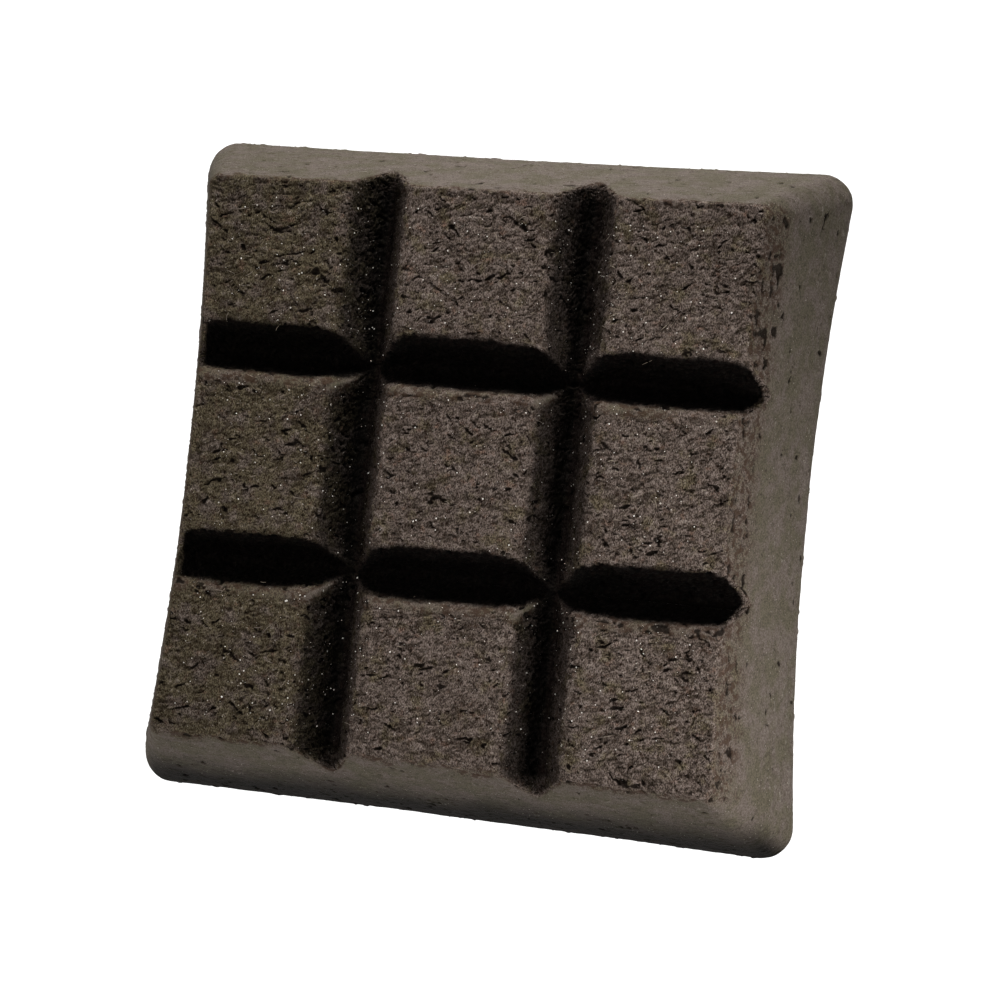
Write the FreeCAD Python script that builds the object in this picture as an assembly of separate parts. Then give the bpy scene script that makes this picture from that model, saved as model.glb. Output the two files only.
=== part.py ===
import FreeCAD, Part
import math
import os

# A square tablet pressed from coarse dark powder. V-shaped grooves score its upper face into a grid of
# equal segments, and its sides slope outwards from the face to a wider base. It snaps into the segments
# along flat breaks that run straight down from the root of each groove.
#
# Frame: +Z up with the scored face on top, +Y to the rear, and the origin at the middle of the flat
# underside. All sizes are in millimetres.

# The scored face
segment_top_x = 10.7  # one segment's flat top, left to right
segment_top_y = 10.7  # one segment's flat top, front to rear
groove_mouth = 4.1  # width of a groove, measured before its lips are rounded
groove_depth = 3.65  # from the face to the bottom of the rounded root
root_radius = 0.45  # rounding along the bottom of a groove
lip_radius = 0.55  # rounding where a groove meets the face

# The sloping sides
flank_run = 4.85  # how far the widest section stands out beyond the face
flank_height = 11.3  # from the widest section up to the face
flank_bulge = 0.15  # how far the sides swell beyond a straight slope, half way up
face_edge_radius = 0.5  # rounding where a side meets the face
face_corner_radius = 0.9  # corners of the face, seen from above
base_corner_radius = 2.3  # corners of the widest section, seen from above
side_bow = 1.15  # how far the left and right sides draw in at their middle, at the base
end_bow = 0.1  # the same for the front and rear sides
bow_left_at_face = 0.55  # the share of both bows that is left at the face

# The upright band below the widest section
land_height = 1.5  # its height, the rounded lower edge included
bottom_radius = 1.2  # rounding of the lower edge

# The grid, from the left and from the front
columns = ("left", "centre", "right")
rows = ("front", "middle", "rear")

# Sizes that follow from the ones above
pitch_x = segment_top_x + groove_mouth
pitch_y = segment_top_y + groove_mouth
face_x = len(columns) * pitch_x - groove_mouth
face_y = len(rows) * pitch_y - groove_mouth
base_x = face_x + 2 * flank_run
base_y = face_y + 2 * flank_run
height = land_height + flank_height

UP = FreeCAD.Vector(0, 0, 1)
ORIGIN = FreeCAD.Vector(0, 0, 0)
CLEAR = 5.0  # how far a cutting tool reaches past the block
TOUCH = 0.001  # two levels nearer than this are the same


def side_points(start_centre, end_centre, radius, bow):
    """One side, tangent to the corner circles at both its ends: where it starts, its middle, where it ends."""
    along = (end_centre - start_centre).normalize()
    outward = along.cross(UP)
    half = (end_centre - start_centre).Length / 2
    lean = math.atan2(2 * half * bow, half**2 - bow**2)
    start = start_centre + (outward * math.cos(lean) + along * math.sin(lean)) * radius
    end = end_centre + (outward * math.cos(lean) - along * math.sin(lean)) * radius
    middle = (start_centre + end_centre) * 0.5 + outward * (radius - bow)
    return start, middle, end


def side_edge(start, middle, end):
    straight = middle.distanceToLine(start, end - start) < TOUCH
    curve = Part.LineSegment(start, end) if straight else Part.Arc(start, middle, end)
    return curve.toShape()


def outline(size_x, size_y, radius, bow_x, bow_y, z):
    """A closed wire at height z: a rectangle with rounded corners and sides that draw in at their middle."""
    turns = [FreeCAD.Vector(*signs, 0) for signs in ((1, -1), (1, 1), (-1, 1), (-1, -1))]
    inner_x = size_x / 2 - radius
    inner_y = size_y / 2 - radius
    centres = [FreeCAD.Vector(turn.x * inner_x, turn.y * inner_y, z) for turn in turns]
    bows = (bow_x, bow_y, bow_x, bow_y)
    sides = [side_points(centres[i], centres[(i + 1) % 4], radius, bows[i]) for i in range(4)]
    edges = []
    for i, side in enumerate(sides):
        following = (i + 1) % 4
        crown = centres[following] + turns[following] / math.sqrt(2) * radius
        edges.append(side_edge(*side))
        edges.append(Part.Arc(side[2], crown, sides[following][0]).toShape())
    return Part.Wire(edges)


def level(share):
    """The block's outline at a share of the flank's height: 0 at the widest section, 1 at the face."""
    run = flank_run * (1 - share) + flank_bulge * 4 * share * (1 - share)
    radius = base_corner_radius + (face_corner_radius - base_corner_radius) * share
    bow = 1 + (bow_left_at_face - 1) * share
    z = land_height + flank_height * share
    return outline(face_x + 2 * run, face_y + 2 * run, radius, side_bow * bow, end_bow * bow, z)


def unscored_block():
    """The tablet before it is scored: the sloping part on its upright band."""
    band = Part.Face(level(0)).extrude(UP * -land_height)
    lower_edges = [edge for edge in band.Edges if edge.BoundBox.ZMax < TOUCH]
    band = band.makeFillet(bottom_radius, lower_edges)
    sloping = Part.makeLoft([level(0), level(0.5), level(1)], True, False)
    face_edges = [edge for edge in sloping.Edges if edge.BoundBox.ZMin > height - TOUCH]
    sloping = sloping.makeFillet(face_edge_radius, face_edges)
    return band.fuse(sloping)


def groove_section():
    """The section of a groove across X, with its rounded root and lips, open upwards past the face."""
    half = groove_mouth / 2
    rise = groove_depth - root_radius
    slope = math.atan2(half, rise) - math.asin(root_radius / math.hypot(half, rise))
    lip_run = lip_radius / math.tan((math.pi / 2 + slope) / 2)
    up_wall = FreeCAD.Vector(math.sin(slope), 0, math.cos(slope))
    off_wall = FreeCAD.Vector(math.cos(slope), 0, -math.sin(slope))

    root = FreeCAD.Vector(0, 0, height - groove_depth)
    wall_foot = root + UP * root_radius + off_wall * root_radius
    wall_head = FreeCAD.Vector(half, 0, height) - up_wall * lip_run
    lip = FreeCAD.Vector(half + lip_run, 0, height)
    lip_middle = lip - UP * lip_radius + (UP - off_wall).normalize() * lip_radius
    above = lip + UP * CLEAR

    def mirrored(point):
        return FreeCAD.Vector(-point.x, point.y, point.z)

    curves = [
        Part.Arc(mirrored(wall_foot), root, wall_foot),
        Part.LineSegment(wall_foot, wall_head),
        Part.Arc(wall_head, lip_middle, lip),
        Part.LineSegment(lip, above),
        Part.LineSegment(above, mirrored(above)),
        Part.LineSegment(mirrored(above), mirrored(lip)),
        Part.Arc(mirrored(lip), mirrored(lip_middle), mirrored(wall_head)),
        Part.LineSegment(mirrored(wall_head), mirrored(wall_foot)),
    ]
    return Part.Face(Part.Wire([curve.toShape() for curve in curves]))


def breaks(count, pitch):
    """Where the break planes lie along one axis of the grid."""
    return [(i - count / 2) * pitch for i in range(1, count)]


def grooves():
    """All the grooves' cutting tools, those that run to the rear first."""
    reach = max(base_x, base_y) / 2 + CLEAR
    cutter = groove_section().extrude(FreeCAD.Vector(0, 2 * reach, 0))
    cutter.translate(FreeCAD.Vector(0, -reach, 0))
    tools = [
        cutter.translated(FreeCAD.Vector(x, 0, 0)) for x in breaks(len(columns), pitch_x)
    ]
    crossing = cutter.rotated(ORIGIN, UP, 90)
    tools += [
        crossing.translated(FreeCAD.Vector(0, y, 0)) for y in breaks(len(rows), pitch_y)
    ]
    return tools


def cell(column, row):
    """The box of space between the break planes that one segment fills."""
    limits_x = [-base_x / 2 - CLEAR, *breaks(len(columns), pitch_x), base_x / 2 + CLEAR]
    limits_y = [-base_y / 2 - CLEAR, *breaks(len(rows), pitch_y), base_y / 2 + CLEAR]
    corner = FreeCAD.Vector(limits_x[column], limits_y[row], -CLEAR)
    width = limits_x[column + 1] - limits_x[column]
    depth = limits_y[row + 1] - limits_y[row]
    return Part.makeBox(width, depth, height + 2 * CLEAR, corner)


def main():
    os.makedirs("parts", exist_ok=True)
    block = unscored_block().cut(grooves()).removeSplitter()
    for j, row in enumerate(rows):
        for i, column in enumerate(columns):
            segment = block.common(cell(i, j)).Solids[0]
            segment.exportStep(f"parts/segment_{row}_{column}.step")
            print(row, column, round(segment.Volume, 1), segment.isValid(), len(segment.Faces))


main()
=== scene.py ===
import math

import bpy
import numpy as np
from mathutils import Matrix, Vector
from mathutils.geometry import delaunay_2d_cdt


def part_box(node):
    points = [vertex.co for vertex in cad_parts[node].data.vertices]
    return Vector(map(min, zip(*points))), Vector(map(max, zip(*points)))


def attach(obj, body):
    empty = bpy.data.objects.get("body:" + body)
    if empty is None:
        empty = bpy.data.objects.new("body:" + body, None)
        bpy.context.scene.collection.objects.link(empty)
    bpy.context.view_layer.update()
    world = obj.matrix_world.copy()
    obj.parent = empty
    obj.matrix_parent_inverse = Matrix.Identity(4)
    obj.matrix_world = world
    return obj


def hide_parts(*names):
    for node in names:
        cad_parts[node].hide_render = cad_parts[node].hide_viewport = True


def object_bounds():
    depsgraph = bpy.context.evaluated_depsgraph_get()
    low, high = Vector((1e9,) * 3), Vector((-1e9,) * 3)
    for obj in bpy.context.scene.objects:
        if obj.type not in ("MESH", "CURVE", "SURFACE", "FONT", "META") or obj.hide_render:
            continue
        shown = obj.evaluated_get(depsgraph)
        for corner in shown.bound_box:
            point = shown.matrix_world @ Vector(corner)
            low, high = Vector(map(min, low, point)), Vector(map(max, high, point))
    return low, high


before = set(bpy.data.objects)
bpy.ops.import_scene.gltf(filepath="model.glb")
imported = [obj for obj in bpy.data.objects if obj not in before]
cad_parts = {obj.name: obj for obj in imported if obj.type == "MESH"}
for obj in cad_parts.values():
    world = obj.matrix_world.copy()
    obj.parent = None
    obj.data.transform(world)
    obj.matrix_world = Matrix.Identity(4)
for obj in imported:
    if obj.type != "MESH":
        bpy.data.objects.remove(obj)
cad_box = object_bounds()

# The skin of the whole block is worked out as one surface, in millimetres: a smooth die-pressed shape, the
# grooves carved into it, and then the relief of the pressed powder pushed out along its normals. It is cut
# exactly at the break planes, so that the nine segments meet with the same edge points and no gap.

MM = 0.001
COARSE = 1.0

# Taken from the CAD model
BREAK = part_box("segment_middle_centre")[1].x / MM
BASE_HALF = cad_box[1].y / MM
HEIGHT = cad_box[1].z / MM

# The same as in the CAD model's source
GROOVE_MOUTH = 4.1
GROOVE_DEPTH = 3.65
LAND_HEIGHT = 1.5
BOTTOM_RADIUS = 1.2
FACE_CORNER = 0.9
BASE_CORNER = 2.3
SIDE_BOW = 1.15
END_BOW = 0.1
BOW_LEFT_AT_FACE = 0.55
FLANK_BULGE = 0.15

# Follow from those
FACE_HALF = 3 * BREAK - GROOVE_MOUTH / 2
FACE_INNER = FACE_HALF - FACE_CORNER
BASE_INNER = BASE_HALF - BASE_CORNER
FLANK_RUN = BASE_HALF - FACE_HALF
FLANK_HEIGHT = HEIGHT - LAND_HEIGHT

# How the skin departs from a sharp-edged shape
EDGE_ROUNDING = 0.7  # length over which the face's edge is rounded
ROOT_ROUNDING = 0.32
LIP_ROUNDING = 0.85
UPRIGHT_MOUTH = GROOVE_MOUTH + 0.4  # the grooves from front to rear are worn wider
UPRIGHT_SHIFT = 0.15

# Facets
FACE_STEP = 0.092 * COARSE
GROOVE_STEP = 0.05 * COARSE
BOTTOM_STEP = 0.14 * COARSE
BREAK_STEP = 0.17 * COARSE
UNDER_STEP = 0.35 * COARSE
CORNER_COLUMNS = max(8, round(26 / COARSE))

# Loose pieces on each segment
FIBRES = 34
FIBRE_ROUND = 6  # corners round a fibre
FIBRE_RINGS = 7  # rings of corners along it
GRAINS = 120

WELD_LATTICE = 2e4  # steps to the millimetre: points that round to the same step are one
CROSSING = 1.0  # a break edge that ends above this height ends at a crossing of grooves, not on the floor
UNDER_PRESSED = 0.75  # how smooth the underside is: 0 is torn, and 1 is as the sides are

COLUMNS = {"left": -1, "centre": 0, "right": 1}
ROWS = {"front": -1, "middle": 0, "rear": 1}


# ---- Random numbers and noise that depend only on place ----


def scrambled(number):
    number = (number ^ (number >> 16)) * np.uint32(0x7FEB352D)
    number = (number ^ (number >> 15)) * np.uint32(0x846CA68B)
    return number ^ (number >> 16)


def cell_number(cell, seed):
    """A scrambled whole number for each cell of a cubic lattice."""
    x, y, z = (cell[..., i].astype(np.int64).astype(np.uint32) for i in range(3))
    mixed = x * np.uint32(73856093) ^ y * np.uint32(19349663) ^ z * np.uint32(83492791)
    return scrambled(mixed + np.uint32(seed * 2654435761 % 2**32))


def drawn(number, turn):
    """A number from 0 to 1 for each cell number, and another for each turn."""
    return scrambled(number + np.uint32(turn * 40503 + 1)) / 2.0**32


def noise(points, size, seed, octaves=1):
    """Smooth noise from -1 to 1. Its largest swells are about size across, or size along each axis."""
    size = np.asarray(size, float)
    total, weight, whole = 0.0, 1.0, 0.0
    for octave in range(octaves):
        q = points / (size / 2**octave) + 17.3 * octave
        cell = np.floor(q)
        part = q - cell
        part = part * part * (3 - 2 * part)
        value = 0.0
        for corner in np.ndindex(2, 2, 2):
            share = np.prod(np.where(corner, part, 1 - part), axis=-1)
            value = value + share * drawn(cell_number(cell + corner, seed + octave), 0)
        total = total + weight * (2 * value - 1)
        whole += weight
        weight *= 0.5
    return total / whole


def packed(points, size, seed):
    """Which flake each point belongs to, among flakes packed about size apart.

    Returns the flake's number, the point's offset from the flake's middle in flake sizes, and how much
    nearer that middle is than the next one, which is 0 where two flakes meet.
    """
    q = points / np.asarray(size, float)
    low = np.floor(q - 0.5)
    first = np.full(len(q), np.inf)
    second = np.full(len(q), np.inf)
    number = np.zeros(len(q), np.uint32)
    offset = np.zeros_like(q)
    for corner in np.ndindex(2, 2, 2):
        found = cell_number(low + corner, seed)
        shift = np.stack([(found >> s & 1023) / 1023 - 0.5 for s in (0, 10, 20)], -1)
        away = q - (low + corner + 0.5 + 0.9 * shift)
        distance = np.sqrt((away**2).sum(-1))
        nearer = distance < first
        second = np.where(nearer, first, np.minimum(second, distance))
        first = np.where(nearer, distance, first)
        number = np.where(nearer, found, number)
        offset = np.where(nearer[:, None], away, offset)
    return number, offset, second - first


def ramp(value, low, high):
    t = np.clip((value - low) / (high - low), 0, 1)
    return t * t * (3 - 2 * t)


# ---- The smooth shape ----


def spaced(start, end, step):
    return np.linspace(start, end, max(2, math.ceil(abs(end - start) / step) + 1))


def joined(*stretches):
    """Stretches of numbers joined into one, each shared end kept once."""
    return np.concatenate([stretches[0]] + [s[1:] for s in stretches[1:]])


def grid_lines(side):
    """Where the face's grid lines lie across one column or row of segments: -1, 0 or 1 from the middle."""
    near = UPRIGHT_MOUTH / 2 + UPRIGHT_SHIFT + 0.4  # fine steps reach this far from a groove's root
    if side == 0:
        return joined(
            spaced(-BREAK, -BREAK + near, GROOVE_STEP),
            spaced(-BREAK + near, BREAK - near, FACE_STEP),
            spaced(BREAK - near, BREAK, GROOVE_STEP),
        )
    outer = joined(
        spaced(BREAK, BREAK + near, GROOVE_STEP),
        spaced(BREAK + near, FACE_INNER, FACE_STEP),
    )
    return outer if side > 0 else -outer[::-1]


def side_profile():
    """A section down one side, from the flat face to the underside.

    Returns how far each point stands out beyond the face's edge, its height, and its distance along the
    section.
    """
    share = np.linspace(1, 0, 200)
    turn = np.linspace(0, math.pi / 2, 40)
    flat = np.linspace(-FACE_CORNER, 0, 40)[:-1]
    out = np.concatenate(
        [
            flat,
            FLANK_RUN * (1 - share) + 4 * FLANK_BULGE * share * (1 - share),
            FLANK_RUN - BOTTOM_RADIUS * (1 - np.cos(turn)),
        ]
    )
    z = np.concatenate(
        [
            np.full_like(flat, HEIGHT),
            LAND_HEIGHT + FLANK_HEIGHT * share,
            BOTTOM_RADIUS * (1 - np.sin(turn)),
        ]
    )
    length = np.concatenate([[0], np.cumsum(np.hypot(np.diff(out), np.diff(z)))])
    fine = np.linspace(0, length[-1], 3000)
    width = round(EDGE_ROUNDING / fine[1] / 2) * 2 + 1
    kernel = np.ones(width) / width

    def rounded(values):
        values = np.interp(fine, length, values)
        ahead = 2 * values[0] - values[width // 2 : 0 : -1]
        behind = 2 * values[-1] - values[-2 : -2 - width // 2 : -1]
        return np.convolve(np.concatenate([ahead, values, behind]), kernel, "valid")

    out, z = rounded(out), rounded(z)
    z = np.clip(z, 0, HEIGHT)
    lower = fine[-1] - BOTTOM_RADIUS * 1.8
    at = joined(spaced(0, lower, FACE_STEP), spaced(lower, fine[-1], BOTTOM_STEP))
    return np.interp(at, fine, out), np.interp(at, fine, z), at


OUT, LEVEL, DOWN = side_profile()
DOWN_AT_EDGE = FACE_CORNER


def ring(bow_at_base):
    """What the outlines at each level of the side profile share: see side_points and corner_points."""
    share = np.clip((LEVEL - LAND_HEIGHT) / FLANK_HEIGHT, 0, 1)
    half = FACE_HALF + OUT
    inner = BASE_INNER + (FACE_INNER - BASE_INNER) * share
    bow = bow_at_base * (1 + (BOW_LEFT_AT_FACE - 1) * share)
    lean = np.arctan2(2 * inner * bow, inner**2 - bow**2)
    return half[:, None], inner[:, None], bow[:, None], lean[:, None]


def face_points(xs, ys):
    """The face's grid of points, drawn in with the sides."""
    x, y = np.meshgrid(xs, ys, indexing="ij")

    def drawn_in(values, others, bow_at_base):
        bow = bow_at_base * BOW_LEFT_AT_FACE * (1 - (others / FACE_INNER) ** 2)
        stretch = 1 - bow / (FACE_INNER - BREAK)
        beyond = np.maximum(np.abs(values) - BREAK, 0)
        return np.sign(values) * (np.minimum(np.abs(values), BREAK) + beyond * stretch)

    return np.stack([drawn_in(x, y, SIDE_BOW), drawn_in(y, x, END_BOW), np.full_like(x, HEIGHT)], -1)


def side_points(lines, bow_at_base):
    """A side's points: how far along it they are and how far out, one row per level."""
    half, inner, bow, lean = ring(bow_at_base)
    radius = half - inner
    end = inner - radius * np.sin(lean)
    stretch = (end - BREAK) / (FACE_INNER - BREAK)
    beyond = np.maximum(np.abs(lines) - BREAK, 0)
    along = np.sign(lines) * (np.minimum(np.abs(lines), BREAK) + beyond * stretch)
    far = inner + radius * np.cos(lean)
    outward = far - (far - half + bow) * (1 - (along / end) ** 2)
    return along, outward


def corner_points():
    """A rounded corner's points in the quarter where x and y are positive, one row per level."""
    half, inner, _, lean_x = ring(SIDE_BOW)
    lean_y = ring(END_BOW)[3]
    share = np.linspace(0, 1, CORNER_COLUMNS)
    angle = -lean_x + (math.pi / 2 + lean_x + lean_y) * share
    radius = half - inner
    return inner + radius * np.cos(angle), inner + radius * np.sin(angle)


def groove_height(across, place, mouth, seed):
    """The height of a groove's walls at a distance across from its root."""
    wander = 0.07 * noise(place, 3.0, seed) + 0.035 * noise(place, 0.9, seed + 1)
    off = across + wander
    steep = GROOVE_DEPTH / (math.hypot(mouth / 2, ROOT_ROUNDING) - ROOT_ROUNDING)
    return HEIGHT - GROOVE_DEPTH + steep * (np.hypot(off, ROOT_ROUNDING) - ROOT_ROUNDING)


def lower_of(a, b, rounding):
    """The lower of two heights, with a rounded edge where they cross."""
    near = np.maximum(rounding - np.abs(a - b), 0) / rounding
    return np.minimum(a, b) - near**2 * rounding / 4


def across_grooves(points):
    """How far each point is from the root of the nearer upright groove and of the nearer level one.

    Upright grooves run from front to rear, and level ones from left to right. Between the crossings
    their roots stray a little from the break planes.
    """
    x, y = points[:, 0], points[:, 1]
    off_x, off_y = x - np.sign(x) * BREAK, y - np.sign(y) * BREAK
    shift_x = np.sign(x) * UPRIGHT_SHIFT
    shift_y = np.where(y > 0, 0.36 - 0.006 * x, 0.25 + 0.012 * x)
    return off_x - shift_x * ramp(np.abs(off_y), 0.8, 3), off_y - shift_y * ramp(np.abs(off_x), 0.8, 3)


def carved(points):
    """The unscored block's points, lowered where a groove runs, and how far each was lowered."""
    flat = points * (1, 1, 0)
    off_x, off_y = across_grooves(points)
    upright = groove_height(off_x, flat, UPRIGHT_MOUTH, 33)
    level = groove_height(off_y, flat, GROOVE_MOUTH, 36)
    crossed = 0.25 + 0.8 * ramp(np.minimum(upright, level), HEIGHT - GROOVE_DEPTH, HEIGHT - 1)
    lip = LIP_ROUNDING * (1 + 0.35 * noise(flat, 1.6, 31)) * np.where(upright < level, 1.3, 1)
    lowered = lower_of(points[:, 2], lower_of(upright, level, crossed), lip)
    return np.column_stack([points[:, :2], lowered]), points[:, 2] - lowered


# ---- The relief of the pressed powder ----


def flakes(points, size, seed):
    """Flakes packed like shingles: each lies at its own height and tilt, with a crack round it."""
    number, offset, gap = packed(points, size, seed)
    height = drawn(number, 1) - 0.5
    tilt = (drawn(number, 2) - 0.5) * offset[:, 0] + (drawn(number, 3) - 0.2) * offset[:, 1]
    return height + 1.1 * tilt, ramp(gap, 0.0, 0.22)


def turned(points, degrees):
    """The points turned about the vertical."""
    angle = math.radians(degrees)
    x, y = points[:, 0], points[:, 1]
    across = x * math.cos(angle) + y * math.sin(angle)
    along = y * math.cos(angle) - x * math.sin(angle)
    return np.column_stack([across, along, points[:, 2]])


def swayed(points, amount, size, seed):
    """The points moved about smoothly, which bends and frays whatever is drawn at them."""
    return points + amount * np.stack([noise(points, size, seed + i, 2) for i in range(3)], -1)


def rough_relief(points):
    """The scored face and the grooves: torn flakes and fibres that lie flat, the grain below them.

    Returns the slow swells and the fine relief apart.
    """
    bent = swayed(points, 0.5, 1.8, 41)
    large, large_crack = flakes(turned(bent, 12), (0.95, 0.48, 0.4), 45)
    small, small_crack = flakes(turned(bent, -8), (0.36, 0.21, 0.19), 46)
    fibres = 1 - np.abs(noise(turned(bent, 18), (0.46, 0.18, 0.2), 47, 2))
    crossed = 1 - np.abs(noise(turned(bent, -35), (0.4, 0.17, 0.2), 49, 2))
    patches = ramp(noise(points, 2.2, 51, 2), -0.5, 0.5)
    swells = 0.05 * noise(points, 4.5, 52, 2) - 0.03
    fine = (
        0.085 * noise(bent, (0.6, 0.3, 0.32), 53, 3)
        + (0.03 + 0.03 * patches) * large
        + 0.065 * small
        + 0.06 * fibres**4
        + 0.05 * crossed**4
        - 0.05 * patches * (1 - large_crack)
        - 0.04 * (1 - small_crack)
        - 0.05
    )
    return swells, fine


def smooth_relief(points):
    """The sides, which slid against the die: nearly flat, with fine grain and a few stuck crumbs."""
    grain = noise(points, (0.5, 0.5, 0.34), 55, 3)
    crumbs = ramp(noise(points, (0.4, 0.5, 0.4), 57, 2), 0.36, 0.7)
    return 0.05 * noise(points, 4.5, 59, 2) - 0.02, 0.03 * grain + 0.06 * crumbs


def crevices(points, size, degrees, cut, depth, seed):
    """Ragged hollows where flakes have come away."""
    drawn_at = turned(swayed(points, 0.25 * size[0], 0.5 * size[0], seed), degrees)
    level = noise(drawn_at, size, seed + 5, 2)
    return depth * ramp(level, cut, cut + 0.22)


def rim_height(points, down, lowered):
    """The burr that the die left along the face's edge, in broken stretches."""
    crest = np.exp(-(((down - DOWN_AT_EDGE + 0.12) / 0.17) ** 2))
    broken = 0.35 + 0.65 * ramp(noise(points, 1.3, 111, 2), -0.35, 0.25)
    return 0.11 * crest * broken * (1 - ramp(lowered, 0.02, 0.3))


def relief(points, pressed):
    """How far the skin is pushed out, how deep in a pit each point lies, and how high in the grain."""
    rough = 1 - pressed
    hollow = np.maximum(
        crevices(points, (1.3, 0.27, 0.5), 14, 0.42, 0.2, 61),
        crevices(points, (0.9, 0.22, 0.4), -32, 0.46, 0.18, 71),
    )
    hollow = hollow + crevices(points, (0.45, 0.14, 0.3), 5, 0.38, 0.1, 81)
    fallen = crevices(points, (0.6, 1.0, 0.6), 20, 0.28 + 0.26 * ramp(pressed, 0.6, 1.0), 0.26, 91)
    hollow = rough * hollow + pressed * fallen
    torn_swells, torn_fine = rough_relief(points)
    swells, fine = smooth_relief(points)
    fine = rough * torn_fine + pressed * fine
    push = rough * torn_swells + pressed * swells + fine - hollow
    settled = ramp(points[:, 2], 0.0, 0.5)
    raised = np.clip(0.5 + fine / 0.2, 0, 1)
    return push * settled, hollow * settled, raised


# How far down each side the surface is still torn by the face's edge
TORN = {(1, 0): 5.0, (-1, 0): 3.0, (0, 1): 0.4, (0, -1): 1.2}


def painted_lit_ridges(off_x, off_y, lowered):
    """Where a ridge runs down to a crossing, and how far it is painted as lit, with the painted shade
    lifted: most of all if it faces the rear right, where the light falls.
    """
    ridge = np.exp(-(((np.abs(off_x) - np.abs(off_y)) / 0.45) ** 2)) * ramp(lowered, 3.2, 1.6)
    return ridge * (0.1 + 0.9 * ramp(-off_x, -0.2, 0.2) * ramp(-off_y, -0.2, 0.2))


def pressed_share(points, down, torn, lowered):
    """1 where the die left the skin smooth, 0 on the torn face and in the grooves."""
    edge = down - DOWN_AT_EDGE + 0.4 * noise(points, 1.0, 101, 3)
    started = ramp(edge, -0.1, 0.45)
    finished = ramp(edge + 1.4 * noise(points, 1.3, 104, 3), 0.1 * torn, 0.3 + torn)
    side = (0.42 * started + 0.58 * finished) * (1 - ramp(lowered, 0.05, 0.35))
    off_x, off_y = across_grooves(points)
    lip = ramp(-off_y, 1.5, 1.7) * ramp(-off_y, 2.9, 2.3) * ramp(np.abs(off_x), 1.2, 2.2)
    worn = 0.55 * lip * ramp(noise(points, 1.4, 106, 2), -0.6, 0.1)
    # The ridges painted as lit also take the sides' smoother skin
    horn = painted_lit_ridges(off_x, off_y, lowered) * ramp(lowered, 0.05, 0.4)
    return np.maximum(np.maximum(side, worn), horn)


def painted_shade_share(points, lowered):
    """How much painted shade blackens the grooves and darkens the front side towards the floor.

    Most lies in the level grooves, away from their ends; it starts deeper on their walls that face the
    rear. It is thinner on the ridges between two grooves.
    """
    off_x, off_y = across_grooves(points)
    level = ramp(np.abs(off_x) - np.abs(off_y), -0.5, 0.5)
    span = np.minimum(ramp(np.abs(off_x), 0.8, 4.2), ramp(np.abs(points[:, 0]), 21.0, 17.5))
    start = 0.05 + 0.22 * ramp(-off_y, -0.3, 0.3) + 0.75 * (1 - span)
    settled = lowered + 0.18 * noise(points, 0.8, 107, 3)
    # Painted shade down the groove walls, darker the deeper they go
    walls = 0.68 * ramp(settled, 0.02, 1.0) + 0.26 * ramp(settled, 2.0, 3.4)
    grooves = walls * (1 - level) + level * ramp(settled, start, start + 0.75)
    # The painted shade is lifted on the ridges painted as lit
    grooves = grooves * (1 - painted_lit_ridges(off_x, off_y, lowered))
    x, y, z = points.T
    # Painted shade on the front side, darker towards the floor
    front = ramp(-y - np.abs(x), -2.0, 1.0) * ramp(-y, FACE_HALF - 0.5, FACE_HALF)
    foot = 0.97 * front * ramp(HEIGHT - z + 0.8 * noise(points, 3.0, 109, 2), 2.8, HEIGHT - 3)
    return np.maximum(grooves, foot)


# ---- Putting one segment's skin together ----


def grid_faces(shape):
    """The triangles of a grid of points, as numbers into the flattened grid."""
    at = np.arange(shape[0] * shape[1]).reshape(shape)
    a, b, c, d = at[:-1, :-1], at[1:, :-1], at[1:, 1:], at[:-1, 1:]
    first = np.stack([a, b, c], -1).reshape(-1, 3)
    second = np.stack([a, c, d], -1).reshape(-1, 3)
    return np.concatenate([first, second])


def facing(points, faces, outward):
    """The faces, turned over if most of them look away from outward."""
    a, b, c = (points[faces[:, i]] for i in range(3))
    total = np.cross(b - a, c - a).sum(0)
    return faces if total @ np.asarray(outward, float) > 0 else faces[:, ::-1]


def welded(points):
    """The points with no repeats, and for each old point the number of its new one."""
    keys = np.round(points * WELD_LATTICE).astype(np.int64)
    _, first, index = np.unique(keys, axis=0, return_index=True, return_inverse=True)
    return points[first], index.reshape(-1)


def whole_faces(faces):
    a, b, c = faces.T
    return (a != b) & (b != c) & (c != a)


# The kinds of surface on a segment: its upper skin, its break faces and its underside
TOP, BROKEN, UNDER = 0, 1, 2


def arc_positions(lines):
    """How far along the carved face each grid line is."""
    points = np.column_stack([lines, np.zeros_like(lines), np.full_like(lines, HEIGHT)])
    z = carved(points)[0][:, 2]
    steps = np.hypot(np.diff(lines), np.diff(z))
    return np.concatenate([[0], np.cumsum(steps)])


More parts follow.
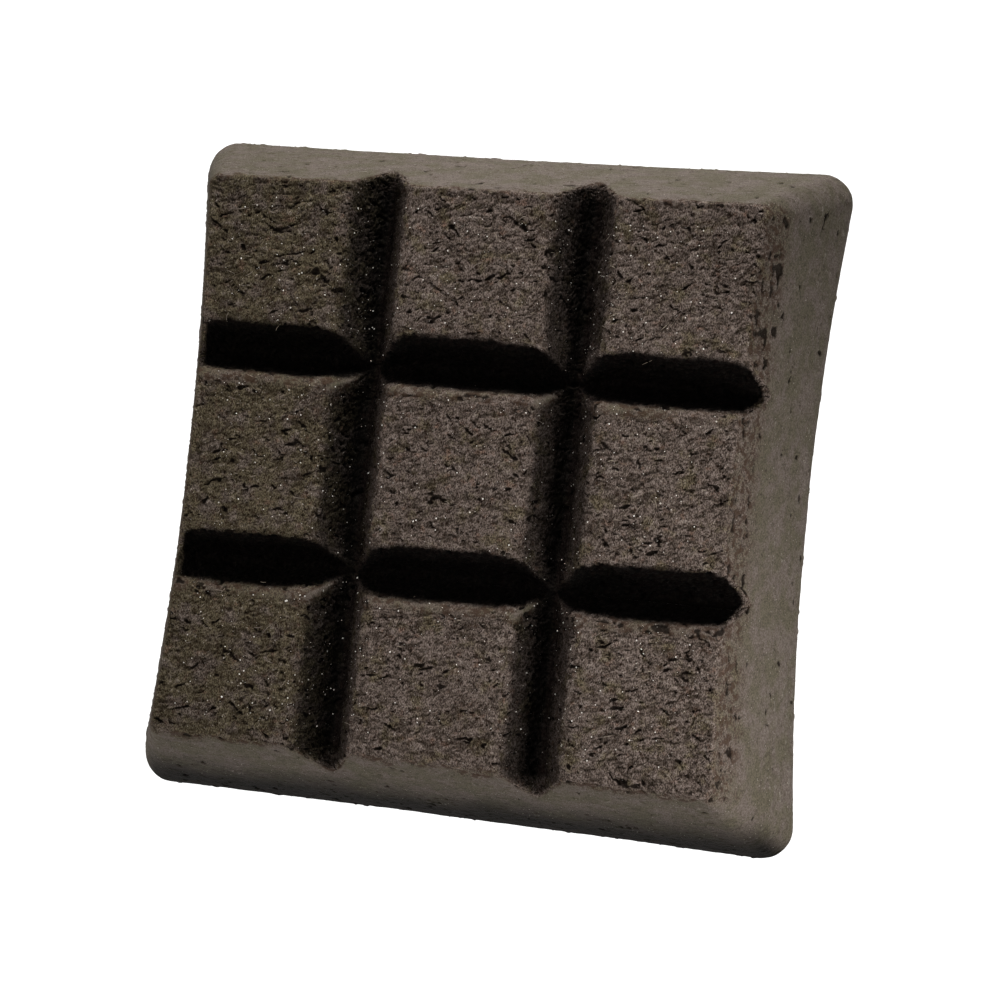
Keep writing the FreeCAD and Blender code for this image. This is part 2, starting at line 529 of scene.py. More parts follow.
def top_patches(side_x, side_y):
    """The face, sides and corner of one segment before carving.

    Each patch is its grid of points, its chart, how far down the side each point is, how far down the side
    stays torn, and which way it looks.
    """
    lines = grid_lines(side_x), grid_lines(side_y)
    charts = [arc_positions(line) for line in lines]
    starts = [chart[-1] if side > 0 else chart[0] for chart, side in zip(charts, (side_x, side_y))]
    core = face_points(*lines)
    chart = np.stack(np.meshgrid(*charts, indexing="ij"), -1)
    zero = np.zeros(core.shape[:2])
    patches = {"core": (core, chart, zero, zero, (0, 0, 1))}
    down = DOWN[:, None]
    for name, axis, side, bow in (("x", 0, side_x, SIDE_BOW), ("y", 1, side_y, END_BOW)):
        if side == 0:
            continue
        step = 1 if axis == 0 else -1  # -1 swaps x and y, for a side that faces along y
        looks = (side, 0)[::step]
        along, outward = side_points(lines[1 - axis], bow)
        z = np.broadcast_to(LEVEL[:, None], along.shape)
        a = np.broadcast_to(starts[axis] + side * down, along.shape)
        b = np.broadcast_to(charts[1 - axis], along.shape)
        patches[name] = (
            np.stack([*(side * outward, along)[::step], z], -1),
            np.stack((a, b)[::step], -1),
            np.broadcast_to(down, along.shape),
            np.full_like(along, TORN[looks]),
            (*looks, 0.4),
        )
    if side_x and side_y:
        x, y = corner_points()
        z = np.broadcast_to(LEVEL[:, None], x.shape)
        share = np.linspace(0, 1, CORNER_COLUMNS)
        a = starts[0] + side_x * down * np.cos(share * math.pi / 2)
        b = starts[1] + side_y * down * np.sin(share * math.pi / 2)
        torn = TORN[side_x, 0] * (1 - share) + TORN[0, side_y] * share
        patches["corner"] = (
            np.stack([side_x * x, side_y * y, z], -1),
            np.stack([a, b], -1),
            np.broadcast_to(down, x.shape),
            np.broadcast_to(torn, x.shape),
            (side_x, side_y, 0.5),
        )
    return patches


def edge_chains(grids, side_x, side_y):
    """The rows of points along each break plane, from its left or front end: {(axis, side): numbers}."""
    chains = {}
    core = grids["core"]
    across = {"x": (side_x, side_y, core, "y"), "y": (side_y, side_x, core.T, "x")}
    for side in (-1, 1):
        at = -1 if side > 0 else 0
        for axis, (own, other, rows, wall) in across.items():
            if own == side:
                continue
            chain = rows[at]
            if other > 0:
                chain = np.concatenate([chain, grids[wall][1:, at]])
            if other < 0:
                chain = np.concatenate([grids[wall][:0:-1, at], chain])
            chains[axis, side] = chain
    return chains


def vertex_normals(points, faces):
    a, b, c = (points[faces[:, i]] for i in range(3))
    across = np.cross(b - a, c - a)
    total = np.zeros_like(points)
    for i in range(3):
        for axis in range(3):
            total[:, axis] += np.bincount(faces[:, i], across[:, axis], len(points))
    return total / np.maximum(np.linalg.norm(total, axis=1), 1e-12)[:, None]


def chain_normals(points, chain, axis):
    """Normals along a break edge that stay in the break plane and depend on nothing but the edge."""
    kept = 1 if axis == "x" else 0
    row = points[chain]
    run, rise = np.gradient(row[:, kept]), np.gradient(row[:, 2])
    length = np.maximum(np.hypot(run, rise), 1e-12)
    normals = np.zeros_like(row)
    normals[:, kept] = -rise / length
    normals[:, 2] = run / length
    return normals


def build_top(side_x, side_y):
    """The carved and roughened upper skin of one segment, with its break edges."""
    grids = {}
    gathered = []
    count = 0
    for name, (points, chart, down, torn, outward) in top_patches(side_x, side_y).items():
        shape = points.shape[:2]
        points = points.reshape(-1, 3)
        points, lowered = carved(points)
        faces = facing(points, grid_faces(shape), outward)
        extra = np.column_stack([down.ravel(), torn.ravel(), lowered])
        grids[name] = count + np.arange(len(points)).reshape(shape)
        gathered.append((points, chart.reshape(-1, 2), faces + count, extra))
        count += len(points)
    points, charts, faces, extra = (np.concatenate(parts) for parts in zip(*gathered))
    solid, index = welded(points)
    info = np.zeros((len(solid), 3))
    info[index] = extra
    flat_faces = index[faces]
    kept = whole_faces(flat_faces)
    faces, flat_faces = faces[kept], flat_faces[kept]
    normals = vertex_normals(solid, flat_faces)
    chains = edge_chains(
        {name: index[grid] for name, grid in grids.items()}, side_x, side_y
    )
    for (axis, _), chain in chains.items():
        normals[chain] = chain_normals(solid, chain, axis)
    corners = [
        chain[end] for chain in chains.values() for end in (0, -1)
        if solid[chain[end], 2] > CROSSING
    ]
    normals[corners] = (0, 0, 1)
    pressed = pressed_share(solid, info[:, 0], info[:, 1], info[:, 2])
    # Painted shade for the grooves and the front's foot, a share on each point
    painted_shade = painted_shade_share(solid, info[:, 2])
    push, hollow, raised = relief(solid, pressed)
    push = push + rim_height(solid, info[:, 0], info[:, 2])
    solid = solid + normals * push[:, None]
    return {
        "points": solid,
        "faces": flat_faces,
        "charts": charts[faces],
        "pressed": pressed,
        "hollow": hollow,
        "painted_shade": painted_shade,
        "raised": raised,
        "chains": chains,
        "rims": [index[grids[n][-1]] for n in ("x", "corner", "y") if n in grids],
        "face": solid[index[grids["core"]]],
    }


def filled(loop, step, seed):
    """Triangles that fill a closed loop of points in a plane, and all their points, the loop's first."""
    low, high = loop.min(0), loop.max(0)
    columns = np.arange(low[0] + step / 2, high[0], step)
    rows = np.arange(low[1] + step / 2, high[1], step * 0.866)
    x, y = np.meshgrid(columns, rows)
    x = x + step / 2 * (np.arange(len(rows)) % 2)[:, None]
    inner = np.column_stack([x.ravel(), y.ravel()])
    cell = np.column_stack([np.round(inner / step * 4), np.zeros(len(inner))])
    number = cell_number(cell, seed)
    inner += (np.column_stack([drawn(number, 1), drawn(number, 2)]) - 0.5) * 0.5 * step
    ends = np.roll(loop, -1, axis=0)
    crossings = np.zeros(len(inner), int)
    for (ax, ay), (bx, by) in zip(loop, ends):
        spans = (ay > inner[:, 1]) != (by > inner[:, 1])
        if by != ay:
            at = ax + (inner[:, 1] - ay) / (by - ay) * (bx - ax)
            crossings += spans & (inner[:, 0] < at)
    clear = np.full(len(inner), np.inf)
    for point in loop:
        clear = np.minimum(clear, np.hypot(*(inner - point).T))
    keep = (crossings % 2 == 1) & (clear > 0.6 * step)
    inner, clear = inner[keep], clear[keep]
    everything = np.concatenate([loop, inner])
    size = len(loop)
    edges = [(i, (i + 1) % size) for i in range(size)]
    made = delaunay_2d_cdt(
        [Vector(p) for p in everything], edges, [tuple(range(size))], 1, 1e-6
    )
    origin = np.array([o[0] for o in made[3]])
    inward = np.concatenate([np.zeros(size), clear])
    return everything[origin], np.array([list(f) for f in made[2]]), inward[origin]


def break_surface(top, axis):
    """The break between a segment and the next along an axis.

    Returns its points, its triangles, its chart and its points on the floor.
    """
    kept = 1 if axis == "x" else 0
    chain = top["points"][top["chains"][axis, 1]]
    upper = chain[:, [kept, 2]]

    def drop(end):
        """The upright edge below a crossing of two grooves, if the break ends at one."""
        along, z = upper[end]
        down = spaced(z, 0, BREAK_STEP * 1.5)[1:] if z > CROSSING else np.zeros(0)
        return np.column_stack([np.full_like(down, along), down])

    left, right = drop(0), drop(-1)
    base = spaced(upper[-1, 0], upper[0, 0], UNDER_STEP)[1:-1]
    base = np.column_stack([base, np.zeros_like(base)])
    loop = np.concatenate([upper, right, base, left[::-1]])
    points, faces, inward = filled(loop, BREAK_STEP, 81)

    def placed(flat):
        solid = np.zeros((len(flat), 3))
        solid[:, kept] = flat[:, 0]
        solid[:, 1 - kept] = chain[0, 1 - kept]
        solid[:, 2] = flat[:, 1]
        return solid

    solid = placed(points)
    bumps = (
        0.2 * noise(solid, 2.4, 82, 2)
        + 0.09 * flakes(solid, (0.9, 0.9, 0.4), 83)[0]
        + 0.05 * flakes(solid, (0.4, 0.4, 0.22), 84)[0]
    )
    solid[:, 1 - kept] += bumps * ramp(inward, 0, 0.7)
    edge = placed(loop)
    return solid, faces, points, edge[edge[:, 2] < 1e-9][:, :2]


def under_surface(top, breaks):
    """The flat underside of one segment."""
    rims = [top["points"][rim][:, :2] for rim in top["rims"]]
    loop = in_order(rims + [surface[3] for surface in breaks])
    points, faces, inward = filled(loop, UNDER_STEP, 91)
    placed = np.column_stack([points, np.zeros(len(points))])
    rise = 0.03 + 0.03 * noise(placed, 1.1, 92, 3)
    placed[:, 2] = np.maximum(rise, 0) * ramp(inward, 0, 0.8)
    return placed, faces, points


def in_order(pieces):
    """A closed loop from the points of its stretches, in order round their middle."""
    points = welded(np.concatenate(pieces))[0]
    middle = (points.min(0) + points.max(0)) / 2
    angle = np.arctan2(points[:, 1] - middle[1], points[:, 0] - middle[0])
    return points[np.argsort(angle)]


def placed_charts(top_chart, others):
    """The charts of a segment's patches moved beside each other, and scaled to fill a unit square."""
    low = top_chart.reshape(-1, 2).min(0)
    top_chart = top_chart - low
    width, height = top_chart.reshape(-1, 2).max(0)
    moved = []
    column, row, column_width = width + 1.0, 0.0, 0.0
    for chart in others:
        chart = (chart - chart.min(0)) * 0.8
        if np.ptp(chart[:, 0]) > np.ptp(chart[:, 1]):
            chart = chart[:, ::-1]
        if row > 0 and row + chart[:, 1].max() > max(height, 1.2 * width):
            column, row, column_width = column + column_width + 1.0, 0.0, 0.0
        moved.append(chart + (column, row))
        row += chart[:, 1].max() + 1.0
        column_width = max(column_width, chart[:, 0].max())
    size = max(max(c.max() for c in moved), top_chart.max()) + 1.0
    return [(c + 0.5) / size for c in [top_chart] + moved]


def segment_mesh(name, top, walls, under):
    """One closed mesh from the skin, the breaks and the underside of a segment."""
    charts = placed_charts(top["charts"], [w[2] for w in walls] + [under[2]])
    flat = [charts[0].reshape(-1, 3, 2)]
    flat += [c[w[1]] for c, w in zip(charts[1:], walls + [under])]
    points = [top["points"]] + [w[0] for w in walls] + [under[0]]
    firsts = np.cumsum([0] + [len(p) for p in points])
    faces = [top["faces"]] + [w[1] for w in walls] + [under[1]]
    faces = np.concatenate([f + first for f, first in zip(faces, firsts)])
    kinds = np.concatenate(
        [np.full(len(top["faces"]), TOP)]
        + [np.full(len(w[1]), BROKEN) for w in walls]
        + [np.full(len(under[1]), UNDER)]
    )
    sizes = (firsts[1], firsts[-2] - firsts[1], firsts[-1] - firsts[-2])
    pressed = np.concatenate([top["pressed"], np.zeros(sizes[1]), np.full(sizes[2], UNDER_PRESSED)])
    # Only the skin carries pits and painted shade; the breaks and the underside get none
    hollow, painted_shade = (np.pad(top[word], (0, sizes[1] + sizes[2])) for word in ("hollow", "painted_shade"))
    raised = np.pad(top["raised"], (0, sizes[1] + sizes[2]), constant_values=0.5)
    solid, index = welded(np.concatenate(points))
    # An edge point keeps what the upper skin says of it, so the skin is written last.
    order = np.arange(len(index))[::-1]
    values = np.zeros((len(solid), 4))
    values[index[order]] = np.column_stack([pressed, hollow, painted_shade, raised])[order]
    faces = index[faces]
    kept = whole_faces(faces)
    faces, kinds = faces[kept], kinds[kept]
    uv = np.concatenate(flat)[kept]

    mesh = bpy.data.meshes.new(name)
    mesh.vertices.add(len(solid))
    mesh.vertices.foreach_set("co", (solid * MM).astype(np.float32).ravel())
    mesh.loops.add(3 * len(faces))
    mesh.loops.foreach_set("vertex_index", faces.astype(np.int32).ravel())
    mesh.polygons.add(len(faces))
    mesh.polygons.foreach_set("loop_start", np.arange(0, 3 * len(faces), 3, dtype=np.int32))
    mesh.polygons.foreach_set("material_index", (kinds == BROKEN).astype(np.int32))
    mesh.polygons.foreach_set("use_smooth", np.ones(len(faces), bool))
    mesh.update(calc_edges=True)
    layer = mesh.uv_layers.new(name="OFBake")
    layer.uv.foreach_set("vector", uv.astype(np.float32).ravel())
    for column, word in enumerate(("pressed", "hollow", "painted_shade", "raised")):
        attribute = mesh.attributes.new(word, "FLOAT", "POINT")
        attribute.data.foreach_set("value", values[:, column].astype(np.float32))
    mark_sharp(mesh, kinds)
    return mesh


def mark_sharp(mesh, kinds):
    """The edges where the skin, the breaks and the underside meet are sharp."""
    edge_of_loop = np.empty(len(mesh.loops), np.int32)
    mesh.loops.foreach_get("edge_index", edge_of_loop)
    kind_of_loop = np.repeat(kinds, 3)
    most = np.zeros(len(mesh.edges), int)
    least = np.full(len(mesh.edges), UNDER)
    np.maximum.at(most, edge_of_loop, kind_of_loop)
    np.minimum.at(least, edge_of_loop, kind_of_loop)
    sharp = mesh.attributes.new("sharp_edge", "BOOLEAN", "EDGE")
    sharp.data.foreach_set("value", (most != least) & ((most == BROKEN) | (least == BROKEN)))


# ---- Fibres and grains ----


def splinters(face, count, seed):
    """Short fibres that lie on a segment's face and lips, with their ends sunk in the powder."""
    random = np.random.default_rng(seed)
    xs, ys = face[:, face.shape[1] // 2, 0], face[face.shape[0] // 2, :, 1]
    points, faces = [], []
    turn = np.linspace(0, 2 * math.pi, FIBRE_ROUND, endpoint=False)
    share = np.linspace(-0.5, 0.5, FIBRE_RINGS)
    tip = FIBRE_RINGS * FIBRE_ROUND
    last = tip - FIBRE_ROUND
    while len(points) < count:
        length = 0.2 + 0.8 * random.random() ** 2.5
        radius = 0.016 + 0.016 * random.random()
        lean = random.normal(0.25, 0.55)
        middle = [random.uniform(v[0] + 0.8, v[-1] - 0.8) for v in (xs, ys)]
        bend = random.uniform(-0.12, 0.12) * length
        x = middle[0] + share * length * math.cos(lean) - bend * (4 * share**2) * math.sin(lean)
        y = middle[1] + share * length * math.sin(lean) + bend * (4 * share**2) * math.cos(lean)
        i = np.clip(np.searchsorted(xs, x), 0, len(xs) - 1)
        j = np.clip(np.searchsorted(ys, y), 0, len(ys) - 1)
        ground = face[i, j, 2]
        if random.random() > (ground.mean() - HEIGHT + 2.2) / 2.2:
            continue
        straight = np.linspace(ground[0], ground[-1], FIBRE_RINGS)
        z = np.maximum(straight, ground)
        z[1:-1] = (z[:-2] + 2 * z[1:-1] + z[2:]) / 4
        z += radius * (0.9 - 5 * share**2)
        line = np.column_stack([x, y, z])
        ahead = np.gradient(line, axis=0)
        ahead /= np.linalg.norm(ahead, axis=1)[:, None]
        side = np.cross(ahead, (0, 0, 1))
        side /= np.linalg.norm(side, axis=1)[:, None]
        above = np.cross(side, ahead)
        width = radius * (1 - 1.6 * share**2) * (0.75 + 0.5 * random.random(FIBRE_RINGS))
        tube = line[:, None] + width[:, None, None] * (
            side[:, None] * np.cos(turn)[:, None] + above[:, None] * np.sin(turn)[:, None] * 0.8
        )
        first = (tip + 2) * len(points)
        points.append(np.concatenate([tube.reshape(-1, 3), line[[0, -1]]]))
        for start in range(0, last, FIBRE_ROUND):
            for k in range(FIBRE_ROUND):
                a, b = start + k, start + (k + 1) % FIBRE_ROUND
                faces.append([first + n for n in (a, a + FIBRE_ROUND, b + FIBRE_ROUND, b)])
        for k in range(FIBRE_ROUND):
            after = (k + 1) % FIBRE_ROUND
            faces.append([first + n for n in (tip, k, after)])
            faces.append([first + n for n in (tip + 1, last + after, last + k)])
    return np.concatenate(points), faces


def level_groove(point):
    """Whether a point of the face lies in a groove that runs from left to right, where the painted shade
    hides it.
    """
    off_x, off_y = across_grooves(point[None])
    return point[2] < HEIGHT - 0.4 and abs(off_y[0]) < abs(off_x[0])


def crystals(face, count, seed):
    """Tiny mineral grains caught in a segment's face and groove walls."""
    random = np.random.default_rng(seed)
    corners = np.array(
        [[1, 0, 0], [-1, 0, 0], [0, 1, 0], [0, -1, 0], [0, 0, 1], [0, 0, -1]], float
    )
    sides = [(a, b, c) for a in (0, 1) for b in (2, 3) for c in (4, 5)]
    points, faces = [], []
    for grain in range(count):
        i, j = (random.integers(6, n - 6) for n in face.shape[:2])
        while level_groove(face[i, j]):
            i, j = (random.integers(6, n - 6) for n in face.shape[:2])
        size = 0.028 + 0.05 * random.random() ** 2
        turn, _ = np.linalg.qr(random.normal(size=(3, 3)))
        shape = corners * random.uniform(0.7, 1.3, (6, 1)) * size
        points.append(face[i, j] + shape @ turn + (0, 0, 0.4 * size))
        handed = np.linalg.det(turn) > 0
        for a, b, c in sides:
            outward = (a == 0) == ((b == 2) == (c == 4))
            faces.append([6 * grain + n for n in ((a, b, c) if outward == handed else (c, b, a))])
    return np.concatenate(points), faces


def loose_mesh(name, points, faces):
    mesh = bpy.data.meshes.new(name)
    mesh.from_pydata((points * MM).tolist(), [], [list(map(int, f)) for f in faces])
    mesh.polygons.foreach_set("use_smooth", np.ones(len(mesh.polygons), bool))
    return mesh


# ---- Materials ----


class Nodes:
    """Short calls for wiring a material's nodes."""

    def __init__(self, name):
        self.material = bpy.data.materials.new(name)
        self.material.use_nodes = True
        self.tree = self.material.node_tree
        self.shader = self.tree.nodes["Principled BSDF"]
        space = self.add("ShaderNodeTexCoord").outputs
        self.place = self.vector("MULTIPLY", space["Object"], (1 / MM,) * 3)
        self.normal = space["Normal"]

    def add(self, kind, **settings):
        node = self.tree.nodes.new(kind)
        for name, value in settings.items():
            setattr(node, name, value)
        return node

    def feed(self, socket, value):
        if isinstance(value, bpy.types.NodeSocket):
            self.tree.links.new(value, socket)
        elif isinstance(value, tuple) and socket.type == "RGBA":
            socket.default_value = (*value, 1)
        else:
            socket.default_value = value

    def vector(self, operation, a, b):
        node = self.add("ShaderNodeVectorMath", operation=operation)
        self.feed(node.inputs[0], a)
        self.feed(node.inputs[1], b)
        return node.outputs[0]

    def math(self, operation, a, b=0.0):
        node = self.add("ShaderNodeMath", operation=operation)
        self.feed(node.inputs[0], a)
        self.feed(node.inputs[1], b)
        return node.outputs[0]

    def ramp(self, value, low, high, start=0.0, end=1.0):
        node = self.add("ShaderNodeMapRange", interpolation_type="SMOOTHSTEP")
        for socket, given in zip(node.inputs, (value, low, high, start, end)):
            self.feed(socket, given)
        return node.outputs[0]

    def mix(self, share, a, b, blend="MIX"):
        node = self.add("ShaderNodeMix", data_type="RGBA", blend_type=blend)
        self.feed(node.inputs[0], share)
        self.feed(node.inputs[6], a)
        self.feed(node.inputs[7], b)
        return node.outputs[2]

    def texture(self, kind, size, stretch):
        """A texture whose pattern is about size across, in millimetres."""
        node = self.add(kind)
        scaled = self.vector("MULTIPLY", self.place, tuple(1 / (size * s) for s in stretch))
        self.feed(node.inputs["Vector"], scaled)
        self.feed(node.inputs["Scale"], 1.0)
        return node

    def noise(self, size, detail=2.0, stretch=(1, 1, 1)):
        node = self.texture("ShaderNodeTexNoise", size, stretch)
        self.feed(node.inputs["Detail"], detail)
        self.feed(node.inputs["Roughness"], 0.6)
        return node.outputs["Fac"]

    def cells(self, size, stretch=(1, 1, 1)):
        """Cells: how far each point is from its cell's middle, and the cell's colour."""
        node = self.texture("ShaderNodeTexVoronoi", size, stretch)
        return node.outputs["Distance"], node.outputs["Color"]

    def along_x(self, output):
        """The x part of the place of each point, in millimetres, or of the way the surface faces."""
        node = self.add("ShaderNodeSeparateXYZ")
        self.feed(node.inputs[0], output)
        return node.outputs["X"]

    def attribute(self, name):
        return self.add("ShaderNodeAttribute", attribute_name=name).outputs["Fac"]

    def bump(self, height, depth):
        node = self.add("ShaderNodeBump")
        self.feed(node.inputs["Distance"], depth * MM)
        self.feed(node.inputs["Height"], height)
        self.feed(self.shader.inputs["Normal"], node.outputs[0])

    def shade(self, **values):
        for name, value in values.items():
            self.feed(self.shader.inputs[name.replace("_", " ").title()], value)


def torn_colour(n, raised, fine):
    """The torn face: grey-brown in patches, greener at the left, with painted shade where the grain is low,
    a painted highlight where it is high, painted shade in small dark holes, and streaked with painted fine
    light and shade.
    """
    mauve, olive, rust = (0.118, 0.096, 0.084), (0.098, 0.082, 0.056), (0.125, 0.080, 0.060)
    moss, low = (0.030, 0.028, 0.014), (0.028, 0.021, 0.014)
    high, holes = (0.205, 0.180, 0.160), (0.024, 0.014, 0.010)
    leftward = n.ramp(n.along_x(n.place), -4.0, -12.0, 0.0, 0.12)
    colour = n.mix(n.ramp(n.math("ADD", n.noise(1.6, 5), leftward), 0.50, 0.66), mauve, olive)
    colour = n.mix(n.ramp(n.noise(0.7, 4), 0.56, 0.72, 0.0, 0.7), colour, rust)
    colour = n.mix(n.ramp(n.along_x(n.place), -5.0, -12.0, 0.0, 0.2), colour, moss)
    # Painted shade in the low grain and a painted highlight on the high grain
    colour = n.mix(n.ramp(raised, 0.5, 0.08, 0.0, 0.6), colour, low)
    colour = n.mix(n.ramp(raised, 0.55, 1.0, 0.0, 0.45), colour, high)
    # Painted shade: small dark holes
    colour = n.mix(n.ramp(n.noise(0.3, 4, (0.5, 1, 1)), 0.56, 0.66, 0.0, 0.8), colour, holes)
    # Painted fine light and shade of the grain
    painted_grain_shading = n.mix(n.ramp(fine, 0.36, 0.64), (0.46, 0.42, 0.39), (1.52, 1.52, 1.52))
    return n.mix(1.0, colour, painted_grain_shading, "MULTIPLY")


def smooth_colour(n, raised, fine):
    """The sides that the die pressed: paler and more even, with a few dark flecks, a painted highlight
    where the grain is high, and streaked with painted fine light and shade.
    """
    olive, mauve = (0.086, 0.076, 0.056), (0.110, 0.092, 0.080)
    patch, fleck, high = (0.052, 0.042, 0.031), (0.040, 0.028, 0.020), (0.16, 0.142, 0.122)
    colour = n.mix(n.ramp(n.noise(2.0, 4), 0.38, 0.62), olive, mauve)
    colour = n.mix(n.ramp(n.noise(0.45, 4), 0.46, 0.7, 0.0, 0.55), colour, patch)
    colour = n.mix(n.ramp(n.noise(0.22, 3), 0.6, 0.7, 0.0, 0.5), colour, fleck)
    # A painted highlight on the high grain
    colour = n.mix(n.ramp(raised, 0.6, 0.85, 0.0, 0.6), colour, high)
    # Painted fine light and shade of the grain
    painted_grain_shading = n.mix(n.ramp(fine, 0.36, 0.64), (0.74, 0.72, 0.70), (1.24, 1.24, 1.24))
    return n.mix(1.0, colour, painted_grain_shading, "MULTIPLY")


def skin_material():
    """Pressed charcoal: torn on the face, smoother on the sides, with painted shade that blackens the
    grooves and darkens the front towards the floor.
    """
    n = Nodes("charcoal_skin")
    pressed = n.attribute("pressed")
    hollow = n.attribute("hollow")
    raised = n.attribute("raised")
    stain, pit, specks = (0.044, 0.026, 0.017), (0.011, 0.008, 0.006), (0.34, 0.31, 0.28)
    fine = n.noise(0.14, 3, (0.55, 1, 1))
    colour = n.mix(pressed, torn_colour(n, raised, fine), smooth_colour(n, raised, fine))
    fringe = n.math("MULTIPLY", n.ramp(pressed, 0.02, 0.3), n.ramp(pressed, 0.98, 0.6))
    stained = n.math("MULTIPLY", fringe, n.ramp(n.noise(0.5, 4), 0.46, 0.58))
    colour = n.mix(n.math("MULTIPLY", stained, 0.75), colour, stain)
    # Painted shade in the pits
    colour = n.mix(n.ramp(hollow, 0.02, 0.13, 0.0, 0.88), colour, pit)
    # Painted shade: near black in the grooves and at the front's foot, redder on walls that face left
    painted_shade = n.math("MULTIPLY", n.attribute("painted_shade"), n.ramp(n.noise(0.3, 3), 0.25, 0.7, 1.0, 0.94))
    rightward = n.ramp(n.along_x(n.normal), -0.4, 0.4)
    painted_shade_colour = n.mix(rightward, (0.0022, 0.0009, 0.0007), (0.0007, 0.0009, 0.0007))
    colour = n.mix(painted_shade, colour, painted_shade_colour)
    grain = n.noise(0.09, 3)
    speck, _ = n.cells(0.32)
    near = n.math("MULTIPLY", n.ramp(speck, 0.17, 0.1), n.ramp(n.noise(0.9, 2), 0.46, 0.6))
    # Pale specks, hidden where the painted shade is full
    shown = n.math("MULTIPLY", n.math("MULTIPLY", near, 0.6), n.ramp(n.attribute("painted_shade"), 1.0, 0.8))
    colour = n.mix(shown, colour, specks)
    n.shade(Base_Color=colour, Roughness=n.ramp(pressed, 0.0, 1.0, 0.9, 0.7))
    n.feed(n.shader.inputs["Specular IOR Level"], 0.05)
    n.bump(n.math("ADD", grain, n.math("MULTIPLY", n.noise(0.22, 2), 1.5)), 0.035)
    return n.material


def break_material():
    """The fresh inside of the block: blacker, with glints of whole charcoal painted as paler flakes."""
    n = Nodes("charcoal_break")
    colour = n.mix(n.ramp(n.noise(1.0, 4), 0.35, 0.65), (0.022, 0.019, 0.017), (0.050, 0.043, 0.038))
    flake = n.add("ShaderNodeSeparateColor")
    n.feed(flake.inputs[0], n.cells(0.35, (1, 1, 0.6))[1])
    # Painted glints: paler flakes
    colour = n.mix(n.ramp(flake.outputs[0], 0.75, 1.0, 0.0, 0.7), colour, (0.095, 0.082, 0.074))
    grain = n.noise(0.12, 3)
    colour = n.mix(n.ramp(grain, 0.35, 0.65, 0.5, 0.0), colour, (0.006, 0.005, 0.005))
    n.shade(Base_Color=colour, Roughness=n.ramp(flake.outputs[1], 0.0, 1.0, 0.5, 0.85))
    n.bump(n.math("ADD", grain, flake.outputs[2]), 0.05)
    return n.material


def splinter_material():
    """Half-burnt fibres: straw to grey, streaked."""
    n = Nodes("charred_fibre")
    colour = n.mix(n.ramp(n.noise(0.7, 2), 0.4, 0.6), (0.20, 0.165, 0.125), (0.115, 0.092, 0.075))
    colour = n.mix(n.ramp(n.noise(0.08, 2, (3, 1, 1)), 0.45, 0.7, 0.0, 0.6), colour, (0.05, 0.035, 0.025))
    n.shade(Base_Color=colour, Roughness=0.7)
    n.bump(n.noise(0.05, 2), 0.01)
    return n.material


def crystal_material():
    """Mineral grains: whitish and a little glossy."""
    n = Nodes("mineral_grain")
    colour = n.mix(n.ramp(n.noise(0.5, 2), 0.35, 0.65), (0.68, 0.66, 0.62), (0.34, 0.31, 0.27))
    n.shade(Base_Color=colour, Roughness=n.ramp(n.noise(0.1, 2), 0.3, 0.7, 0.25, 0.5))
    n.bump(n.noise(0.03, 2), 0.006)
    return n.material


def floor_material():
    n = Nodes("pale_floor")
    colour = n.mix(n.noise(40.0, 2), (0.10, 0.10, 0.10), (0.12, 0.12, 0.12))
    n.shade(Base_Color=colour, Roughness=0.9, Emission_Color=(1.0, 1.0, 1.0), Emission_Strength=0.93)
    return n.material


# ---- The pieces ----


def placed_object(name, mesh, materials):
    piece = bpy.data.objects.new(name, mesh)
    bpy.context.scene.collection.objects.link(piece)
    for material in materials:
        mesh.materials.append(material)
    return piece


tops = {(x, y): build_top(x, y) for y in ROWS.values() for x in COLUMNS.values()}
breaks = {}
for (x, y), top in tops.items():
    if x < 1:
        breaks["x", x, y] = break_surface(top, "x")
    if y < 1:
        breaks["y", x, y] = break_surface(top, "y")

skin = [skin_material(), break_material()]
fibre, mineral = splinter_material(), crystal_material()
for row, y in ROWS.items():
    for column, x in COLUMNS.items():
        body = f"{row}_{column}"
        top = tops[x, y]
        around = {
            ("x", x, y): (1, 0, 0),
            ("x", x - 1, y): (-1, 0, 0),
            ("y", x, y): (0, 1, 0),
            ("y", x, y - 1): (0, -1, 0),
        }
        walls = []
        for key, outward in around.items():
            if key in breaks:
                points, faces, chart, foot = breaks[key]
                walls.append((points, facing(points, faces, outward), chart, foot))
        points, faces, chart = under_surface(top, walls)
        under = (points, facing(points, faces, (0, 0, -1)), chart)
        mesh = segment_mesh(f"pressed_{body}", top, walls, under)
        block = placed_object(f"pressed_{body}", mesh, skin)
        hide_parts(f"segment_{body}")
        seed = 10 + 3 * y + x
        fibres = loose_mesh(f"fibres_{body}", *splinters(top["face"], FIBRES, seed))
        fibres = placed_object(f"fibres_{body}", fibres, [fibre])
        grains = loose_mesh(f"grains_{body}", *crystals(top["face"], GRAINS, 100 + seed))
        grains = placed_object(f"grains_{body}", grains, [mineral])
        for piece in (block, fibres, grains):
            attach(piece, body)

# ---- Floor, light and camera ----

FLOOR = 3.0  # metres from the middle to each side
corners = [(-FLOOR, -FLOOR, 0), (FLOOR, -FLOOR, 0), (FLOOR, FLOOR, 0), (-FLOOR, FLOOR, 0)]
floor_mesh = bpy.data.meshes.new("floor")
floor_mesh.from_pydata(corners, [], [(0, 1, 2, 3)])
floor = placed_object("floor", floor_mesh, [floor_material()])
floor.visible_diffuse = False


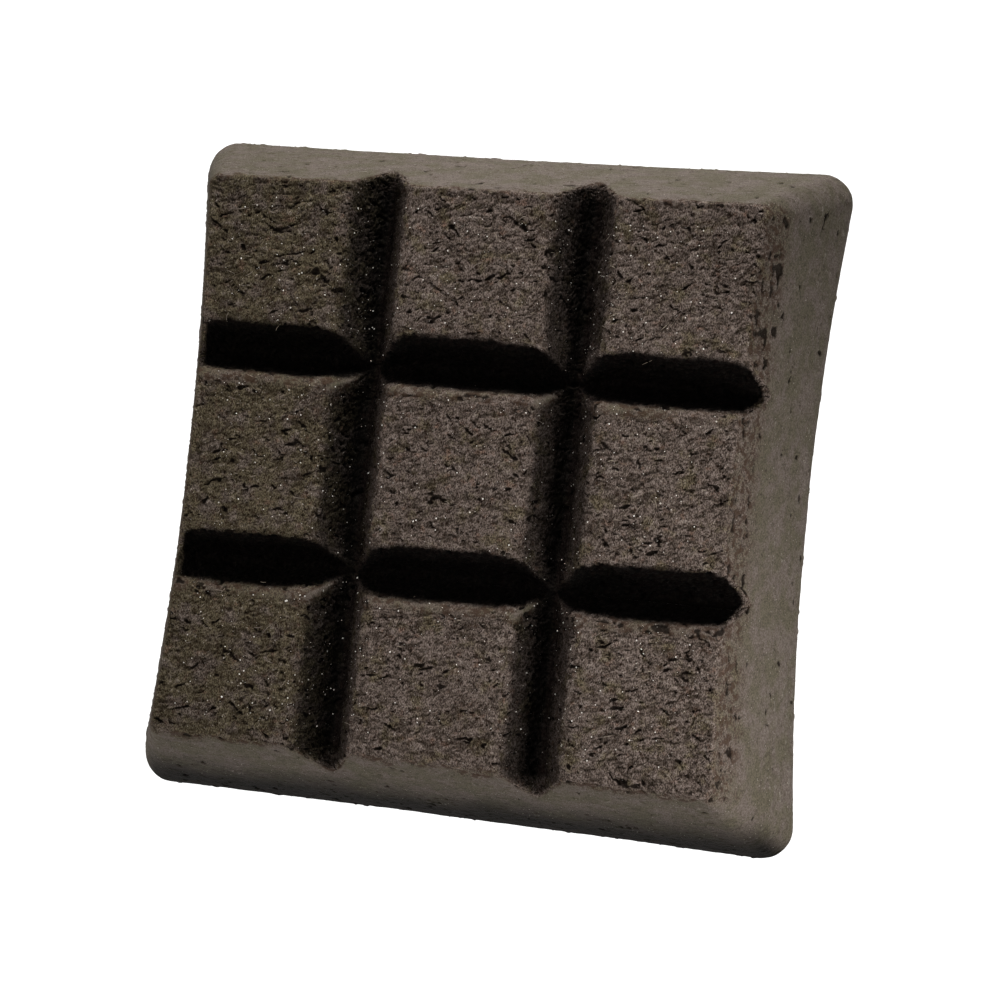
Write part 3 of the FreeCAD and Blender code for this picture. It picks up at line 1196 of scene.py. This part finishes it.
def soft_light(name, place, aim, width, power, reach=None):
    """A soft light at a place, aimed at another, all in millimetres, with its power in watts.

    Its beam is kept within reach of the aim, if that is given.
    """
    light = bpy.data.lights.new(name, "SPOT" if reach else "AREA")
    light.energy = power
    if reach:
        light.shadow_soft_size = width / 2 * MM
        light.spot_size = 2 * math.atan(reach / (place[2] - aim[2]))
        light.spot_blend = 1.0
    else:
        light.size = width * MM
    lamp = bpy.data.objects.new(name, light)
    lamp.location = Vector(place) * MM
    away = Vector(place) - Vector(aim)
    lamp.rotation_euler = away.to_track_quat("Z", "Y").to_euler()
    lamp.visible_camera = False
    bpy.context.scene.collection.objects.link(lamp)


soft_light("overhead", (-60, 20, 290), (1, -1, HEIGHT), 50, 5.9, reach=13)
soft_light("low_rear", (3, 120, 40), (0, 0, 8), 36, 0.18)
soft_light("low_right", (60, -20, 32), (0, -5, 8), 32, 0.035)
soft_light("low_front", (-20, -120, 60), (-4, -20, 8), 36, 0.078)
soft_light("low_left", (-110, 0, 50), (0, 0, 8), 36, 0.05)
world = bpy.data.worlds.new("studio")
world.use_nodes = True
sky = world.node_tree.nodes["Background"]
sky.inputs["Color"].default_value = (1, 1, 1, 1)
sky.inputs["Strength"].default_value = 0.07
bpy.context.scene.world = world
bpy.context.scene.view_settings.view_transform = "Standard"
bpy.context.scene.view_settings.look = "Medium High Contrast"

# The camera looks at AIM from a distance, and is turned about its own line of sight
AIM = Vector((2.415, -1.228, 7.5)) * MM
AZIMUTH, ELEVATION, ROLL = (math.radians(a) for a in (79.182, 76.682, -73.552))
DISTANCE = 143.877 * MM
back = Vector(
    (
        math.sin(AZIMUTH) * math.cos(ELEVATION),
        -math.cos(AZIMUTH) * math.cos(ELEVATION),
        math.sin(ELEVATION),
    )
)
right = Vector((-back.y, back.x, 0)).normalized()
up = back.cross(right)
sideways = math.cos(ROLL) * right + math.sin(ROLL) * up
upright = math.cos(ROLL) * up - math.sin(ROLL) * right
camera_data = bpy.data.cameras.new("camera")
camera_data.lens = 72
camera_data.sensor_width = 36
camera_data.clip_start = 0.005
camera = bpy.data.objects.new("camera", camera_data)
camera.matrix_world = Matrix.Translation(AIM + back * DISTANCE) @ Matrix(
    (sideways, upright, back)
).transposed().to_4x4()
bpy.context.scene.collection.objects.link(camera)
bpy.context.scene.camera = camera
